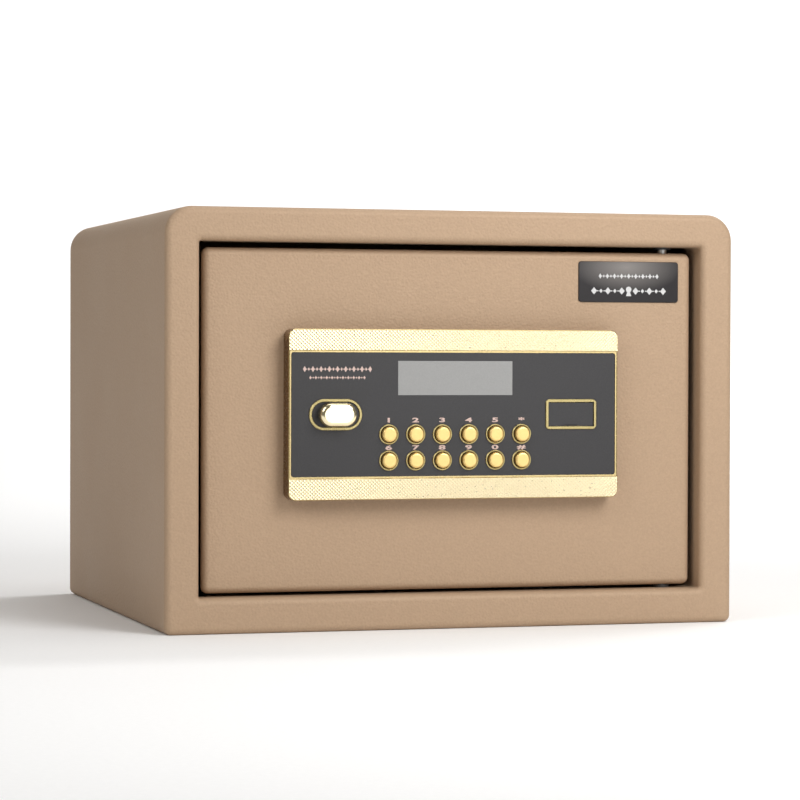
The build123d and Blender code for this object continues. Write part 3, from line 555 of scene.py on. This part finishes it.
def lozenge_row(mesh, x, y, z, width, count, height):
    """A row of lozenges, tall and short by turns, with short bars between them."""
    step = width / (count - 1)
    for i in range(count):
        tall = 1.0 if i % 2 == 0 else 0.6
        centre = x - width / 2 + i * step
        lozenge(mesh, centre, y, z, step * 0.85 * tall, height * tall)
        if i < count - 1:
            bar(mesh, centre + step * 0.36, centre + step * 0.64, y, z, height * 0.14)


def arc_outline(x, z, radius, start, stop):
    """Points of an arc as (x, z), anticlockwise, with angles in degrees."""
    steps = 23
    points = []
    for i in range(steps + 1):
        angle = math.radians(start + (stop - start) * i / steps)
        points.append((x + radius * math.cos(angle), z + radius * math.sin(angle)))
    return points


# two rows of lozenges over the knob, level with the display
ornament = bmesh.new()
knob_low, knob_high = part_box("knob_bezel")
display_low, display_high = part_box("lcd_window")
ornament_x = (knob_low.x + knob_high.x) / 2 + 1.2 * MM
ornament_z = (display_low.z + display_high.z) / 2 + 5.2 * MM
lozenge_row(ornament, ornament_x, fascia_front, ornament_z, 40 * MM, 17, 3.6 * MM)
lozenge_row(ornament, ornament_x, fascia_front, ornament_z - 5 * MM, 33 * MM, 21, 2.2 * MM)
piece("fascia_ornament", ornament, legend, "door")

# one row of lozenges over two shorter ones with a keyhole between them
emblem = bmesh.new()
lower_z = plate_z - 5.5 * MM
foot_z = plate_z - 8.6 * MM
lozenge_row(emblem, plate_x, plate_low.y, plate_z + 3.5 * MM, 37 * MM, 17, 3.2 * MM)
for side in (-1, 1):
    lozenge_row(emblem, plate_x + side * 13.5 * MM, plate_low.y, lower_z, 18 * MM, 5, 4.4 * MM)
keyhole = arc_outline(plate_x, plate_z - 4.6 * MM, 1.8 * MM, -60, 240)
keyhole += [(plate_x - 1.7 * MM, foot_z), (plate_x + 1.7 * MM, foot_z)]
outline_print(emblem, keyhole, plate_low.y)
piece("plate_emblem", emblem, plate_print, "door")


def felt_mat():
    """The mat with its upper edges rounded over, as cut felt has them."""
    mesh = bmesh.new()
    mesh.from_mesh(nodes["floor_mat"].data)
    bmesh.ops.remove_doubles(mesh, verts=mesh.verts, dist=0.01 * MM)
    top = max(v.co.z for v in mesh.verts)
    upper = [e for e in mesh.edges if min(v.co.z for v in e.verts) > top - 0.1 * MM]
    rim = [e for e in upper if e.calc_face_angle(0) > 1.0]
    bmesh.ops.bevel(mesh, geom=rim, offset=MAT_EDGE, segments=3, profile=0.5, affect="EDGES")
    return mesh


mat = piece("felt_mat", felt_mat(), felt, "cabinet")
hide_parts("floor_mat")


# ---------------------------------------------------------------- camera, light and floor

CAMERA_AT = (-0.53049, -1.80933, 0.16327)
CAMERA_YAW = math.radians(16.654)
CAMERA_PITCH = math.radians(-0.877)
CAMERA_ROLL = math.radians(0.177)
CAMERA_LENS = 130.94

data = bpy.data.cameras.new("camera")
data.lens = CAMERA_LENS
data.sensor_width = 36
camera = bpy.data.objects.new("camera", data)
bpy.context.scene.collection.objects.link(camera)
turn = Matrix.Rotation(-CAMERA_YAW, 4, "Z") @ Matrix.Rotation(math.pi / 2 + CAMERA_PITCH, 4, "X")
camera.matrix_world = Matrix.Translation(CAMERA_AT) @ turn @ Matrix.Rotation(CAMERA_ROLL, 4, "Z")
bpy.context.scene.camera = camera


def area_light(name, at, target, size, power):
    """A soft light of that width and height at one point, turned to another."""
    data = bpy.data.lights.new(name, "AREA")
    data.shape = "RECTANGLE"
    data.size = size[0]
    data.size_y = size[1]
    data.energy = power
    light = bpy.data.objects.new(name, data)
    light.location = at
    light.rotation_euler = (Vector(target) - Vector(at)).to_track_quat("-Z", "Y").to_euler()
    bpy.context.scene.collection.objects.link(light)


area_light("near_light", (0.3, -0.8, 0.62), (0, -0.15, 0.2), (0.45, 0.45), 4.7)
area_light("key_light", (0.6, -1.7, 1.0), (0, -0.15, 0.12), (1.0, 1.0), 3.5)
area_light("gold_light", (0.52, -1.78, 0.42), (0, -0.15, 0.14), (0.5, 0.8), 2.5)
area_light("side_light", (-1.0, -0.8, 0.95), (-0.17, -0.05, 0.2), (0.7, 0.7), 4.9)
area_light("top_light", (0.1, -0.1, 1.4), (0, 0, 0.1), (0.8, 0.8), 4)
area_light("backdrop_light", (1.7, 1.0, 2.2), (1.6, 3.2, 0.3), (1.6, 1.6), 100)

world = bpy.data.worlds.new("studio")
bpy.context.scene.world = world
world.use_nodes = True
world.node_tree.nodes["Background"].inputs["Color"].default_value = (1.0, 0.95, 0.88, 1)
world.node_tree.nodes["Background"].inputs["Strength"].default_value = 0.2


def floor_sheet():
    """A plain pale floor that sweeps up into a backdrop far behind the object."""
    mesh = bmesh.new()
    half_width = 8.0
    front_y = -6.0
    bend_y = 2.0
    bend = 2.0
    steps = 12
    profile = [(front_y, 0.0), (bend_y, 0.0)]
    for step in range(1, steps + 1):
        angle = math.radians(90 * step / steps)
        profile.append((bend_y + bend * math.sin(angle), bend - bend * math.cos(angle)))
    profile.append((bend_y + bend, 7.0))
    left = [mesh.verts.new((-half_width, y, z)) for y, z in profile]
    right = [mesh.verts.new((half_width, y, z)) for y, z in profile]
    for i in range(len(profile) - 1):
        mesh.faces.new((left[i], right[i], right[i + 1], left[i + 1]))
    data = bpy.data.meshes.new("floor")
    mesh.to_mesh(data)
    mesh.free()
    for face in data.polygons:
        face.use_smooth = True
    made, shader = material("floor_paper", (0.93, 0.93, 0.93), 0.9)
    grain = noise(made, place_of(made), 300, 2.0)
    paper = tint(made, grain, (0.92, 0.92, 0.92), (0.94, 0.94, 0.94))
    link(made, paper, shader.inputs["Base Color"])
    data.materials.append(made)
    floor = bpy.data.objects.new("floor", data)
    bpy.context.scene.collection.objects.link(floor)
    floor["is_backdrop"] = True


floor_sheet()

bpy.context.scene.view_settings.view_transform = "Standard"

low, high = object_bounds()
